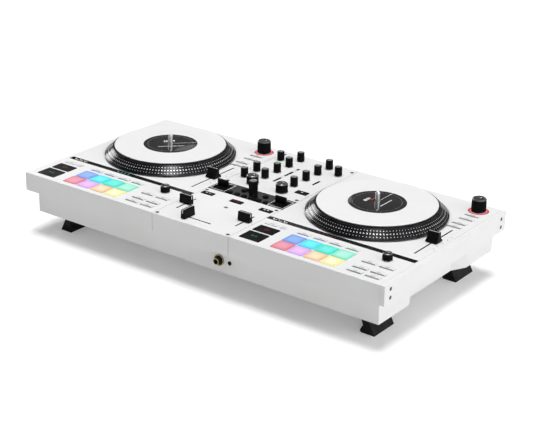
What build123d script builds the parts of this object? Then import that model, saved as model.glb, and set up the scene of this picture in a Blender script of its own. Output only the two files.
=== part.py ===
from build123d import *
import os

# Two-deck motorised music controller.
# Millimetres, +Z up, +Y to the back. The origin is on the table, under the middle of the body.

# ---------------------------------------------------------------- body
body_width = 656.0
body_depth = 330.0
housing_height = 29.0
tub_height = 35.5
foot_height = 34.5

plate_thickness = 2.0
seam_gap = 0.6
mixer_width = 140.0
cheek_thickness = 7.5
frame_floor = 2.5
frame_wall = 2.5

tub_wall = 2.5
tub_side_inset = 14.0
tub_front_inset = 12.0
tub_rear_inset = 8.0
tub_corner = 6.0
handle_depth = 12.0
handle_length = 110.0
handle_ramp = 23.0

# ---------------------------------------------------------------- fits
running = 0.05
hole_clearance = 0.7
key_clearance = 0.35
slot_clearance = 0.5
rest_gap = 0.3

# ---------------------------------------------------------------- platters
platter_bottom_radius = 105.0
platter_slope = 13.0
platter_lift = 1.2
platter_height = 14.0
platter_rim_wall = 5.0
platter_hub_radius = 30.0
platter_hub_rise = 0.8
well_gap = 3.0
well_depth = 0.8
disc_radius = 88.9
disc_thickness = 1.5
disc_hole_radius = 3.65
spindle_radius = 3.6
spindle_rise = 16.5
spindle_undercut = 0.2
shaft_radius = 5.0
motor_radius = 48.0
motor_flange_radius = 56.0
motor_flange_thickness = 2.5
motor_above_frame = 16.0
motor_below_frame = 20.0
motor_floor = 3.0

# ---------------------------------------------------------------- rotary controls
pot_size = 10.0
pot_depth = 11.0
pot_floor = 1.5
knob_shaft_radius = 3.0
knob_lift = 1.5

# ---------------------------------------------------------------- sliders
slot_width = 2.6
stem_width = 1.6
stem_length = 3.0
track_width = 9.0
track_floor = 2.0
track_end = 4.0
tempo_slot_length = 103.6
line_slot_length = 45.0
cross_slot_length = 45.0
cap_lift = 1.0

# ---------------------------------------------------------------- keys and pads
key_rise = 0.9
key_lip = 1.0
key_lip_thickness = 1.0
key_stem_radius = 2.0
key_travel = 1.2
key_corner = 0.8
pad_size = 25.8
pad_gap = 1.6
pad_rise = 0.9
pad_corner = 2.0
mat_thickness = 1.5
mat_border = 4.0

# ---------------------------------------------------------------- boards
board_thickness = 1.6
board_gap = 1.5
post_radius = 4.0

# ---------------------------------------------------------------- effects panel and paddles
fx_depth = 37.0
fx_thickness = 1.2
fx_border = 0.4
paddle_opening = 20.4
paddle_drum_radius = 13.0
paddle_drum_width = 19.4
paddle_blade_width = 19.0
paddle_blade_thickness = 3.2
paddle_blade_rise = 11.0
paddle_pin_radius = 2.0
paddle_pin_length = 2.6
paddle_bracket = 2.4

# ---------------------------------------------------------------- feet
foot_length = 50.0
foot_barrel_radius = 5.0
foot_pin_radius = 2.0
foot_lug = 4.0
foot_side_gap = 0.4
foot_inset_x = 42.0
foot_front_inset_y = 25.0
foot_rear_inset_y = 15.0
sole_height = 4.0

# ---------------------------------------------------------------- sockets
jack_radius = 3.2
jack_depth = 30.0
jack_rise = 8.0
mini_jack_radius = 1.8
mini_jack_depth = 15.0
jack_neck = 5.5
mini_jack_neck = 3.2
jack_x = 44.8
mini_jack_x = 63.8
power_bore_radius = 2.8
power_bore_depth = 10.0
phono_radius = 4.15
phono_rise = 7.0
usb_width = 8.6
usb_height = 8.0
usb_depth = 12.0
usb_wall = 2.0
round_neck = 5.0
phono_bore_radius = 1.6
power_x = -120.0
usb_x = -85.0
phono_xs = (60.0, 79.0)

# ---------------------------------------------------------------- levels and places
tub_bottom = foot_height
frame_bottom = tub_bottom + tub_height
frame_top = frame_bottom + frame_floor
top = frame_bottom + housing_height
under = top - plate_thickness
board_top = under - pot_depth
board_bottom = board_top - board_thickness
platter_top_radius = platter_bottom_radius - platter_slope
well_radius = platter_bottom_radius + well_gap
platter_bottom = top + platter_lift
platter_top = platter_bottom + platter_height
disc_bottom = platter_top + platter_hub_rise
disc_top = disc_bottom + disc_thickness
socket_height = tub_bottom + tub_height / 2

half_width = body_width / 2
half_depth = body_depth / 2
front = -half_depth
back = half_depth
plate_inner = mixer_width / 2 + seam_gap / 2
plate_outer = half_width - cheek_thickness - seam_gap / 2
deck_x = (plate_inner + plate_outer) / 2 + 1.2
platter_dx = -12.5
platter_y = back - 125.7
tub_half_width = half_width - tub_side_inset
tub_front = front + tub_front_inset
tub_back = back - tub_rear_inset
paddle_x = 54.2
fx_front = front + 126.8
fx_y = fx_front + fx_depth / 2
paddle_axis_z = top + 1.0 - paddle_drum_radius

tempo_dx = 105.8
tempo_y = front + 166.4
line_x = 54.2
line_y = front + 58.5
cross_y = front + 20.3
cross_rest_x = -19.5

# Knob sizes: base radius, top radius, height above the plate, rim chamfer, dish depth
small_knob = (6.1, 5.7, 15.4, 0.9, 0.0)
filter_knob = (9.5, 9.3, 14.6, 1.6, 0.8)
browse_knob = (7.1, 6.4, 24.0, 1.0, 0.0)
loop_knob = (11.2, 10.9, 20.6, 1.8, 1.4)
deck_knob = (7.35, 7.2, 11.0, 1.4, 0.7)

column_x = 27.5
outer_x = 55.3
row_y = [back - 20.5 - 31.5 * row for row in range(4)]

# Knobs: x, y, size
mixer_knobs = {}
for row in range(4):
    mixer_knobs[f"left_eq_knob_{row + 1}"] = (-column_x, row_y[row], small_knob)
    mixer_knobs[f"right_eq_knob_{row + 1}"] = (column_x, row_y[row], small_knob)
mixer_knobs["master_level_knob"] = (-outer_x, back - 36.25, small_knob)
mixer_knobs["booth_level_knob"] = (outer_x, back - 36.25, small_knob)
mixer_knobs["phones_level_knob"] = (-outer_x, back - 99.25, small_knob)
mixer_knobs["phones_mix_knob"] = (-outer_x, back - 130.75, small_knob)
mixer_knobs["left_filter_knob"] = (-column_x, back - 146.5, filter_knob)
mixer_knobs["right_filter_knob"] = (column_x, back - 146.5, filter_knob)
mixer_knobs["browse_encoder"] = (3.0, fx_y, browse_knob)

deck_knobs = {
    "loop_encoder": (99.4, back - 25.0, loop_knob),
    "parameter_knob": (88.7, front + 73.5, deck_knob),
}

# Keys: x, y, width, depth
pad_pitch = pad_size + pad_gap
pad_columns = [-48.85 + pad_pitch * column for column in range(4)]
pad_rows = [front + 22.7, front + 22.7 + pad_pitch]
cue_key = (-98.7, front + 51.8, 34.0, 20.5)
play_key = (-98.7, front + 23.5, 34.0, 26.4)
deck_keys = [(x, front + 73.5, 22.0, 7.0) for x in pad_columns]
deck_keys += [(-104.6, front + 73.5, 21.4, 7.0), (-85.0, front + 73.5, 9.0, 7.0)]
deck_keys += [(x, front + y, 23.0, 7.0) for x in (74.8, 103.0) for y in (15.5, 29.5, 50.5)]
deck_keys += [(101.6, back - y, 22.5, 7.0) for y in (47.5, 64.3, 84.5, 99.0)]
mixer_keys = [(x, front + 108.8, 21.5, 9.2) for x in (-54.0, 0.0, 54.0)]
mixer_keys += [(54.2, back - 131.5, 20.6, 11.0)]
fx_pitch = 13.4
fx_size = 7.0
fx_keys = [((column - 2.5) * fx_pitch + 1.5, fx_front + 6.5, fx_size, fx_size) for column in range(6)]
fx_keys += [((column - 2.5) * fx_pitch + 1.5, fx_front + 24.7, fx_size, fx_size) for column in (1, 4)]

strip_width = plate_outer - plate_inner - 1.0
strip_depth = 10.0
strip_recess = 0.8
strip_y = front + 92.5
meter_x = -8.5
meter_y = back - 85.0
meter_size = (4.4, 68.0)
signal_x = 47.0
signal_y = back - 84.0
signal_size = (4.0, 26.0)
window_recess = 1.0
light_ring_inner = 12.0
light_ring_outer = 15.5
light_ring_recess = 0.8

screw_head_radius = 2.9
screw_radius = 1.5
screw_head_height = 1.4
screw_length = 9.0
screw_x = 64.8
screw_ys = [front + 6.0, front + 119.7, back - 159.6, back - 12.2]
cheek_screw_ys = [front + 15.0, back - 13.0]
cheek_screw_drops = [8.5, 21.2]


# ---------------------------------------------------------------- shapes
def block(x, y, z_low, width, depth, height, corner=0.0):
    """A box standing on z_low, with round upright corners when asked."""
    solid = Pos(x, y, z_low + height / 2) * Box(width, depth, height)
    if corner > 0:
        solid = fillet(solid.edges().filter_by(Axis.Z), corner)
    return solid


def span(x_low, x_high, y_low, y_high, z_low, z_high):
    """A box between two corners."""
    middle = Pos((x_low + x_high) / 2, (y_low + y_high) / 2, (z_low + z_high) / 2)
    return middle * Box(x_high - x_low, y_high - y_low, z_high - z_low)


def rod(x, y, radius, z_low, z_high):
    """An upright cylinder."""
    return Pos(x, y, (z_low + z_high) / 2) * Cylinder(radius, z_high - z_low)


def turned(points):
    """A solid of revolution about Z from radius and height pairs."""
    outline = Plane.XZ * Polygon(*points, align=None)
    return revolve(outline, Axis.Z)


def rod_along_y(x, z, radius, y_low, y_high):
    """A cylinder lying front to back."""
    middle = Pos(x, (y_low + y_high) / 2, z)
    return middle * Rot(90, 0, 0) * Cylinder(radius, y_high - y_low)


def rod_along_x(y, z, radius, x_low, x_high):
    """A cylinder lying left to right."""
    middle = Pos((x_low + x_high) / 2, y, z)
    return middle * Rot(0, 90, 0) * Cylinder(radius, x_high - x_low)


def save(name, solids):
    """Write one named piece, or one group of like pieces, to its own file."""
    if not isinstance(solids, list):
        solids = [solids]
    export_step(Compound(children=solids), f"parts/{name}.step")


# ---------------------------------------------------------------- controls
def knob(x, y, size):
    """A knob on its own shaft, which stands in the control's bore."""
    base_radius, top_radius, height, chamfer_size, dish = size
    base = top + knob_lift
    crown = top + height
    shaft_end = board_top + pot_floor + rest_gap
    points = [(0, shaft_end), (knob_shaft_radius, shaft_end), (knob_shaft_radius, base)]
    points += [(base_radius, base), (top_radius, crown - chamfer_size)]
    points += [(top_radius - chamfer_size, crown)]
    if dish > 0:
        points += [(top_radius - chamfer_size - 0.8, crown), (top_radius - chamfer_size - 1.6, crown - dish)]
    points += [(0, crown - dish)]
    return Pos(x, y, 0) * turned(points)


def pot(x, y):
    """The rotary control under a knob, with a blind bore for the shaft."""
    body = block(x, y, board_top, pot_size, pot_size, pot_depth)
    return body - rod(x, y, knob_shaft_radius + running, board_top + pot_floor, under)


def knob_hole(x, y):
    """The cut through a plate for a knob's shaft."""
    return rod(x, y, knob_shaft_radius + hole_clearance, under - 1, top + 1)


def fader_track(x, y, length, along_x=False):
    """A slider control: a long box with a groove that the stem runs in."""
    size = (length + 2 * track_end, track_width)
    groove = (length, stem_width + 2 * slot_clearance)
    if not along_x:
        size = (size[1], size[0])
        groove = (groove[1], groove[0])
    body = block(x, y, board_top, size[0], size[1], pot_depth)
    return body - block(x, y, board_top + track_floor, groove[0], groove[1], pot_depth)


def fader_slot(x, y, length, along_x=False):
    """The cut through a plate for a slider's stem."""
    size = (length, slot_width) if along_x else (slot_width, length)
    return block(x, y, under - 1, size[0], size[1], plate_thickness + 2)


def fader_stem(x, y, along_x=False):
    """The flat stem that joins a cap to its slider."""
    size = (stem_length, stem_width) if along_x else (stem_width, stem_length)
    low = board_top + track_floor + rest_gap
    return block(x, y, low, size[0], size[1], top + cap_lift + 1 - low)


def slab_cap(width, depth, height, waist):
    """A tall cap that narrows upwards, standing on z 0, with soft corners."""
    base = Rectangle(width, depth)
    crown = Pos(0, 0, height) * Rectangle(width - 0.8, depth - waist)
    cap = loft([base.face(), crown.face()])
    upright = cap.edges().filter_by(lambda edge: abs(edge.tangent_at(0).Z) > 0.9)
    cap = fillet(upright, 0.8)
    return fillet(cap.faces().sort_by(Axis.Z)[-1].edges(), 0.5)


def line_fader(x, y):
    """A channel volume slider: cap and stem."""
    cap = Pos(x, y, top + cap_lift) * slab_cap(21.0, 8.6, 13.0, 1.6)
    return cap + fader_stem(x, y)


def cross_fader(x, y):
    """The crossfader: a cap turned front to back, with a ribbed crown."""
    cap = slab_cap(24.0, 8.0, 13.0, 2.0)
    for groove in range(6):
        cap -= block(-8.0 + 3.2 * groove, 0, 12.0, 1.1, 9.0, 2.0)
    cap = Pos(x, y, top + cap_lift) * Rot(0, 0, 90) * cap
    return cap + fader_stem(x, y, along_x=True)


def tempo_fader(x, y):
    """A tempo slider: a blade on a flared skirt, and its stem."""
    width = 18.0
    outline = [(-8.4, 0), (8.4, 0), (8.4, 1.2), (3.6, 5.6), (2.8, 14.6), (-2.8, 14.6), (-3.6, 5.6), (-8.4, 1.2)]
    side = Plane.YZ * Polygon(*outline, align=None)
    cap = Pos(-width / 2, 0, 0) * extrude(side, amount=width, dir=(1, 0, 0))
    return Pos(x, y, top + cap_lift) * cap + fader_stem(x, y)


def key(x, y, width, depth, rise=key_rise, corner=key_corner):
    """A push key: cap, retaining lip under the plate and a stem over its switch."""
    lip_top = under - rest_gap
    lip_low = lip_top - key_lip_thickness
    cap = block(x, y, lip_low, width, depth, top + rise - lip_low, corner)
    lip = block(x, y, lip_low, width + 2 * key_lip, depth + 2 * key_lip, key_lip_thickness)
    low = board_top + key_travel + rest_gap
    return cap + lip + rod(x, y, key_stem_radius, low, lip_low)


def key_hole(x, y, width, depth, corner=key_corner):
    """The cut through a plate for a key's cap."""
    size = (width + 2 * key_clearance, depth + 2 * key_clearance)
    return block(x, y, under - 1, size[0], size[1], plate_thickness + 2, corner)


def pad_mat(centre):
    """Eight soft pads moulded on one mat, with a plunger under each."""
    mat_top = under - rest_gap
    mat_low = mat_top - mat_thickness
    middle_x = centre + sum(pad_columns) / 4
    middle_y = sum(pad_rows) / 2
    width = 3 * pad_pitch + pad_size + mat_border
    depth = pad_pitch + pad_size + mat_border
    mat = block(middle_x, middle_y, mat_low, width, depth, mat_thickness)
    low = board_top + key_travel + rest_gap
    for x in pad_columns:
        for y in pad_rows:
            mat += block(centre + x, y, mat_low, pad_size, pad_size, top + pad_rise - mat_low, pad_corner)
            mat += rod(centre + x, y, key_stem_radius, low, mat_low)
    return mat


# ---------------------------------------------------------------- casing
def casing_plate(x_low, x_high):
    """A folded sheet: the top surface with a front and a back flange."""
    outer = span(x_low, x_high, front, back, frame_bottom, top)
    inner = span(x_low - 1, x_high + 1, front + plate_thickness, back - plate_thickness, frame_bottom - 1, under)
    return outer - inner


def deck_plate(centre, x_low, x_high):
    """A deck's top sheet with the platter well, the slots and the holes for its controls."""
    plate = casing_plate(x_low, x_high)
    platter_x = centre + platter_dx
    plate -= rod(platter_x, platter_y, well_radius, top - well_depth, top + 1)
    plate -= rod(platter_x, platter_y, shaft_radius + hole_clearance, under - 1, top + 1)
    plate -= block((x_low + x_high) / 2, strip_y, top - strip_recess, strip_width, strip_depth, 1)
    plate -= fader_slot(centre + tempo_dx, tempo_y, tempo_slot_length)
    for dx, y, size in deck_knobs.values():
        plate -= knob_hole(centre + dx, y)
    loop_dx, loop_y, size = deck_knobs["loop_encoder"]
    plate -= light_ring(centre + loop_dx, loop_y)
    for dx, y, width, depth in deck_keys + [cue_key, play_key]:
        plate -= key_hole(centre + dx, y, width, depth)
    for dx in pad_columns:
        for y in pad_rows:
            plate -= key_hole(centre + dx, y, pad_size, pad_size, pad_corner)
    return plate


def light_ring(x, y):
    """The lit ring around a loop encoder."""
    low = top - light_ring_recess
    return rod(x, y, light_ring_outer, low, top) - rod(x, y, light_ring_inner, low, top)


def meter_window(x, y, size):
    """A narrow dark window set into the mixer plate."""
    return block(x, y, top - window_recess, size[0], size[1], window_recess)


def mixer_casing():
    """The middle sheet: slots, knob holes, windows and the seat of the effects panel."""
    plate = casing_plate(-mixer_width / 2 + seam_gap / 2, mixer_width / 2 - seam_gap / 2)
    plate -= block(0, fx_y, top - fx_thickness, mixer_width + 2, fx_depth, fx_thickness + 1)
    for x, y, size in mixer_knobs.values():
        plate -= knob_hole(x, y)
    for x in (-line_x, line_x):
        plate -= fader_slot(x, line_y, line_slot_length)
    plate -= fader_slot(0, cross_y, cross_slot_length, along_x=True)
    for x, y, width, depth in mixer_keys + fx_keys:
        plate -= key_hole(x, y, width, depth)
    for x in (-paddle_x, paddle_x):
        plate -= block(x, fx_y, under - 1, paddle_opening, paddle_opening, plate_thickness + 2)
    plate -= meter_window(meter_x, meter_y, meter_size)
    plate -= meter_window(signal_x, signal_y, signal_size)
    for x in (-screw_x, screw_x):
        for y in screw_ys:
            plate -= screw(x, y)
    for x in (-paddle_x, paddle_x):
        for side in (-1, 1):
            plate += paddle_bracket_plate(x, side)
    return plate


def paddle_bracket_plate(x, side):
    """One ear under the mixer plate that carries a paddle's trunnion."""
    inner = paddle_drum_width / 2 + rest_gap
    low_x = x + side * inner
    high_x = low_x + side * paddle_bracket
    edges = sorted((low_x, high_x))
    ear = span(edges[0], edges[1], fx_y - 6, fx_y + 6, paddle_axis_z - 4, under)
    return ear - rod_along_x(fx_y, paddle_axis_z, paddle_pin_radius + running, edges[0] - 1, edges[1] + 1)


def effects_panel():
    """The glossy panel of the effects section, laid in its seat."""
    width = mixer_width - seam_gap - 2 * fx_border
    panel = block(0, fx_y, top - fx_thickness, width, fx_depth - 2 * fx_border, fx_thickness)
    for x, y, key_width, key_depth in fx_keys:
        panel -= key_hole(x, y, key_width, key_depth)
    for x in (-paddle_x, paddle_x):
        panel -= block(x, fx_y, under, paddle_opening, paddle_opening, plate_thickness + 2)
    x, y, size = mixer_knobs["browse_encoder"]
    return panel - knob_hole(x, y)


def paddle(x):
    """An effects switch: a drum on two trunnions with an upright blade."""
    half = paddle_drum_width / 2
    drum = rod_along_x(fx_y, paddle_axis_z, paddle_drum_radius, x - half, x + half)
    drum -= span(x - half - 1, x + half + 1, fx_y - 20, fx_y + 20, paddle_axis_z - 20, paddle_axis_z - 3)
    pin_half = half + paddle_pin_length
    drum += rod_along_x(fx_y, paddle_axis_z, paddle_pin_radius, x - pin_half, x + pin_half)
    blade_low = paddle_axis_z + paddle_drum_radius - 3
    blade = block(x, fx_y, blade_low, paddle_blade_width, paddle_blade_thickness, top + paddle_blade_rise - blade_low)
    return drum + blade


def cheek(side):
    """A side plate with two pairs of countersunk screw holes."""
    inner = half_width - cheek_thickness
    edges = sorted((side * inner, side * half_width))
    plate = span(edges[0], edges[1], front, back, frame_bottom, top)
    for y in cheek_screw_ys:
        for drop in cheek_screw_drops:
            plate -= cheek_screw(side, y, top - drop)
    return plate


def screw(x, y):
    """A panel screw, its head flush with the plate."""
    head = rod(x, y, screw_head_radius, top - screw_head_height, top)
    return head + rod(x, y, screw_radius, top - screw_length, top - screw_head_height)


def cheek_screw(side, y, z):
    """A screw that holds a cheek to the frame's side wall."""
    head_edges = sorted((side * (half_width - screw_head_height), side * half_width))
    end = half_width - cheek_thickness - frame_wall
    thread_edges = sorted((side * end, side * (half_width - screw_head_height)))
    head = rod_along_x(y, z, screw_head_radius, head_edges[0], head_edges[1])
    return head + rod_along_x(y, z, screw_radius, thread_edges[0], thread_edges[1])


def middle_frame():
    """The tray between casing and tub: floor, side walls, seam ribs, posts and motor openings."""
    wall_outer = half_width - cheek_thickness
    inner_front = front + plate_thickness
    inner_back = back - plate_thickness
    frame = span(-wall_outer, wall_outer, inner_front, inner_back, frame_bottom, frame_top)
    for side in (-1, 1):
        wall = sorted((side * wall_outer, side * (wall_outer - frame_wall)))
        frame += span(wall[0], wall[1], inner_front, inner_back, frame_bottom, under)
        rib = sorted((side * (plate_inner + 0.1), side * (plate_inner + frame_wall)))
        frame += span(rib[0], rib[1], inner_front, inner_back, frame_bottom, under)
        for y in screw_ys:
            frame += rod(side * screw_x, y, post_radius, frame_bottom, under)
        for dx, y in board_posts:
            frame += rod(side * deck_x + dx, y, post_radius, frame_bottom, board_bottom)
        frame -= rod(side * deck_x + platter_dx, platter_y, motor_radius + rest_gap, frame_bottom - 1, top)
    for x, y in mixer_posts:
        frame += rod(x, y, post_radius, frame_bottom, board_bottom)
    for hole in all_screws:
        frame -= hole
    return frame


def tub_outline(inset):
    """The tub's plan: a rectangle with a stepped hand hold in each side."""
    x = tub_half_width - inset
    step = x - handle_depth
    low = tub_front + inset
    high = tub_back - inset
    middle = (tub_front + tub_back) / 2
    flat = handle_length / 2 + inset * 0.4
    ramp = flat + handle_ramp
    right = [(x, low), (x, middle - ramp), (step, middle - flat), (step, middle + flat), (x, middle + ramp), (x, high)]
    left = [(-px, py) for px, py in reversed(right)]
    return Polygon(*(right + left), align=None)


def tub():
    """The lower casing: an open tray with hand holds, socket holes and hinge lugs."""
    outer = extrude(Pos(0, 0, tub_bottom) * tub_outline(0), amount=tub_height)
    inner = extrude(Pos(0, 0, tub_bottom + tub_wall) * tub_outline(tub_wall), amount=tub_height)
    corners = outer.edges().filter_by(Axis.Z).group_by(lambda edge: round(abs(edge.center().Y)))
    outer = fillet(corners[-1] + corners[-2], tub_corner)
    shell = outer - inner
    for hole in socket_holes():
        shell -= hole
    for side, y in foot_places:
        for end in (-1, 1):
            shell += foot_lug_plate(side, y, end)
    for pin in foot_pins():
        shell -= pin
    return shell


# ---------------------------------------------------------------- feet
foot_axis_x = tub_half_width - foot_inset_x
foot_axis_z = tub_bottom - foot_barrel_radius - 0.5
foot_places = []
for foot_y in (tub_front + foot_front_inset_y + foot_length / 2, tub_back - foot_rear_inset_y - foot_length / 2):
    for foot_side in (-1, 1):
        foot_places.append((foot_side, foot_y))


def foot_lug_plate(side, y, end):
    """One hinge lug under the tub."""
    near = y + end * (foot_length / 2 + foot_side_gap)
    edges = sorted((near, near + end * foot_lug))
    x = side * foot_axis_x
    lug = span(x - foot_barrel_radius, x + foot_barrel_radius, edges[0], edges[1], foot_axis_z, tub_bottom)
    return lug + rod_along_y(x, foot_axis_z, foot_barrel_radius, edges[0], edges[1])


def foot_pins():
    """The four hinge pins of the feet."""
    reach = foot_length / 2 + foot_side_gap + foot_lug
    return [rod_along_y(side * foot_axis_x, foot_axis_z, foot_pin_radius, y - reach, y + reach)
            for side, y in foot_places]


def foot(side, y):
    """A leaning foot with a hinge barrel above and a rubber sole below."""
    lean = 0.5
    thickness = 13.2
    waist = 12.0
    inner_top = -6.6
    toe = foot_height - foot_barrel_radius - 0.5
    inner_waist = inner_top + (toe - waist) * lean
    outer_top = inner_top + thickness
    outer_sole = outer_top + toe * lean
    heel = inner_waist - 4.4
    leg_points = [(inner_top + 2.0, toe), (inner_waist, waist), (heel, sole_height)]
    leg_points += [(outer_sole - sole_height * lean, sole_height), (outer_top, toe)]
    sole_points = [(heel, sole_height), (heel, 2.0), (heel + 2.2, 0), (outer_sole, 0)]
    sole_points += [(outer_sole - sole_height * lean, sole_height)]
    solids = []
    for points in (leg_points, sole_points):
        face = Plane.XZ * Polygon(*[(side * px, pz) for px, pz in points], align=None)
        solid = extrude(face, amount=foot_length / 2, both=True)
        solids.append(Pos(side * foot_axis_x, y, 0) * solid)
    x = side * foot_axis_x
    half = foot_length / 2
    leg = solids[0] + rod_along_y(x, foot_axis_z, foot_barrel_radius, y - half, y + half)
    leg -= rod_along_y(x, foot_axis_z, foot_pin_radius + running, y - half - 1, y + half + 1)
    return [leg, solids[1]]


# ---------------------------------------------------------------- sockets
def lathe_along_y(x, z, y, direction, points):
    """A turned piece whose axis runs front to back; heights count outwards from y."""
    turn = Rot(90, 0, 0) if direction < 0 else Rot(-90, 0, 0)
    return Pos(x, y, z) * turn * turned(points)


def front_sockets():
    """The large and the small headphone sockets."""
    wall_back = -tub_wall
    points = [(jack_radius, jack_rise), (4.7, jack_rise), (6.6, 1.6), (8.6, 1.6), (8.6, 0)]
    points += [(jack_neck, 0), (jack_neck, wall_back), (7.5, wall_back), (7.5, jack_rise - jack_depth - 2)]
    points += [(0, jack_rise - jack_depth - 2), (0, jack_rise - jack_depth), (jack_radius, jack_rise - jack_depth)]
    large = lathe_along_y(jack_x, socket_height, tub_front, -1, points)
    points = [(mini_jack_radius, 0.6), (mini_jack_neck, 0.6), (mini_jack_neck, wall_back)]
    points += [(4.5, wall_back), (4.5, -mini_jack_depth - 2)]
    points += [(0, -mini_jack_depth - 2), (0, 0.6 - mini_jack_depth), (mini_jack_radius, 0.6 - mini_jack_depth)]
    small = lathe_along_y(mini_jack_x, socket_height, tub_front, -1, points)
    return [large, small]


def rear_sockets():
    """Power inlet, computer port and one pair of phono outputs."""
    deep = -power_bore_depth - 2
    points = [(power_bore_radius, 0.6), (round_neck, 0.6), (round_neck, deep), (0, deep)]
    points += [(0, 0.6 - power_bore_depth), (power_bore_radius, 0.6 - power_bore_depth)]
    pieces = [lathe_along_y(power_x, socket_height, tub_back, 1, points)]
    points = [(phono_bore_radius, phono_rise), (phono_radius, phono_rise), (phono_radius, 0.8), (6.5, 0.8), (6.5, 0)]
    points += [(round_neck, 0), (round_neck, -14), (0, -14), (0, -4), (phono_bore_radius, -4)]
    for x in phono_xs:
        pieces.append(lathe_along_y(x, socket_height, tub_back, 1, points))
    outer = usb_block(tub_back - 16, tub_back + 0.6)
    inner_low = tub_back + 0.6 - usb_depth
    hole_x = usb_width / 2
    hole_z = usb_height / 2
    hole = span(usb_x - hole_x, usb_x + hole_x, inner_low, tub_back + 2, socket_height - hole_z, socket_height + hole_z)
    pieces.append(outer - hole)
    return pieces


def usb_block(y_low, y_high):
    """The outer block of the computer port."""
    x = usb_width / 2 + usb_wall
    z = usb_height / 2 + usb_wall
    return span(usb_x - x, usb_x + x, y_low, y_high, socket_height - z, socket_height + z)


def socket_holes():
    """The holes in the tub's front and back walls that the sockets stand in."""
    front_wall = (tub_front - 1, tub_front + tub_wall + 1)
    back_wall = (tub_back - tub_wall - 1, tub_back + 1)
    holes = [rod_along_y(jack_x, socket_height, jack_neck, *front_wall)]
    holes.append(rod_along_y(mini_jack_x, socket_height, mini_jack_neck, *front_wall))
    for x in (power_x,) + phono_xs:
        holes.append(rod_along_y(x, socket_height, round_neck, *back_wall))
    holes.append(usb_block(*back_wall))
    return holes


# ---------------------------------------------------------------- inside
def motor(centre):
    """A direct-drive motor: flange on the frame, can above and below it, bore for the spindle."""
    x = centre + platter_dx
    can = rod(x, platter_y, motor_radius, frame_top - motor_below_frame, frame_top + motor_above_frame)
    flange = rod(x, platter_y, motor_flange_radius, frame_top, frame_top + motor_flange_thickness)
    low = frame_top - motor_below_frame + motor_floor
    return can + flange - rod(x, platter_y, shaft_radius + running, low, top)


def spindle(centre):
    """The drive shaft, which narrows above the platter into the centring pin, undercut where the disc lies."""
    low = frame_top - motor_below_frame + motor_floor + rest_gap
    crown = disc_top + spindle_rise
    neck = spindle_radius - spindle_undercut
    points = [(0, low), (shaft_radius, low), (shaft_radius, platter_top), (neck, platter_top)]
    points += [(neck, disc_top), (spindle_radius, disc_top), (spindle_radius, crown - 2.4)]
    points += [(2.6, crown - 0.7), (1.0, crown), (0, crown)]
    return Pos(centre + platter_dx, platter_y, 0) * turned(points)


def platter(centre):
    """A hollow conical casting with a hub that grips the shaft."""
    wall = platter_rim_wall
    points = [(shaft_radius, platter_bottom + 1), (14, platter_bottom + 1), (14, platter_top - wall)]
    points += [(platter_top_radius - wall, platter_top - wall), (platter_bottom_radius - wall, platter_bottom)]
    points += [(platter_bottom_radius, platter_bottom), (platter_bottom_radius, platter_bottom + 1.6)]
    points += [(platter_top_radius, platter_top - 1.2), (platter_top_radius, platter_top)]
    points += [(platter_hub_radius, platter_top), (platter_hub_radius, disc_bottom)]
    points += [(spindle_radius, disc_bottom), (spindle_radius, platter_top), (shaft_radius, platter_top)]
    return Pos(centre + platter_dx, platter_y, 0) * turned(points)


def control_disc(centre):
    """The seven-inch control disc."""
    x = centre + platter_dx
    disc = rod(x, platter_y, disc_radius, disc_bottom, disc_top)
    disc = fillet(disc.edges().filter_by(GeomType.CIRCLE), 0.5)
    return disc - rod(x, platter_y, disc_hole_radius, disc_bottom - 1, disc_top + 1)


def boards():
    """Two deck boards and the mixer board."""
    pieces = []
    for side in (-1, 1):
        centre = side * deck_x
        board = span(centre - 119, centre + 118, front + 6, front + 100, board_bottom, board_top)
        board += span(centre + 86, centre + 118, front + 100, back - 10, board_bottom, board_top)
        pieces.append(board)
    mixer_board = span(-60, 60, front + 6, back - 8, board_bottom, board_top)
    for x in (-paddle_x, paddle_x):
        width = paddle_drum_width + 2 * (rest_gap + paddle_bracket + board_gap)
        depth = 2 * (paddle_drum_radius + board_gap)
        mixer_board -= block(x, fx_y, board_bottom - 1, width, depth, board_thickness + 2)
    pieces.append(mixer_board)
    return pieces


board_posts = [(-112, front + 12), (112, front + 40), (-112, front + 92), (112, front + 92), (92, back - 16)]
mixer_posts = [(-52, front + 14), (52, front + 14), (-52, back - 14), (52, back - 14), (0, front + 70)]
all_screws = [screw(x, y) for x in (-screw_x, screw_x) for y in screw_ys]
for screw_side in (-1, 1):
    for screw_y in cheek_screw_ys:
        for screw_drop in cheek_screw_drops:
            all_screws.append(cheek_screw(screw_side, screw_y, top - screw_drop))


# ---------------------------------------------------------------- build
os.makedirs("parts", exist_ok=True)

save("mixer_plate", mixer_casing())
save("effects_panel", effects_panel())
save("middle_frame", middle_frame())
save("bottom_tub", tub())
save("circuit_boards", boards())
save("fasteners", all_screws + foot_pins())
save("sockets", front_sockets() + rear_sockets())
save("platter_motors", [motor(-deck_x), motor(deck_x)])

tracks = [fader_track(x, line_y, line_slot_length) for x in (-line_x, line_x)]
tracks.append(fader_track(0, cross_y, cross_slot_length, along_x=True))
pots = [pot(x, y) for x, y, size in mixer_knobs.values()]
lenses = [meter_window(meter_x, meter_y, meter_size), meter_window(signal_x, signal_y, signal_size)]

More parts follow.
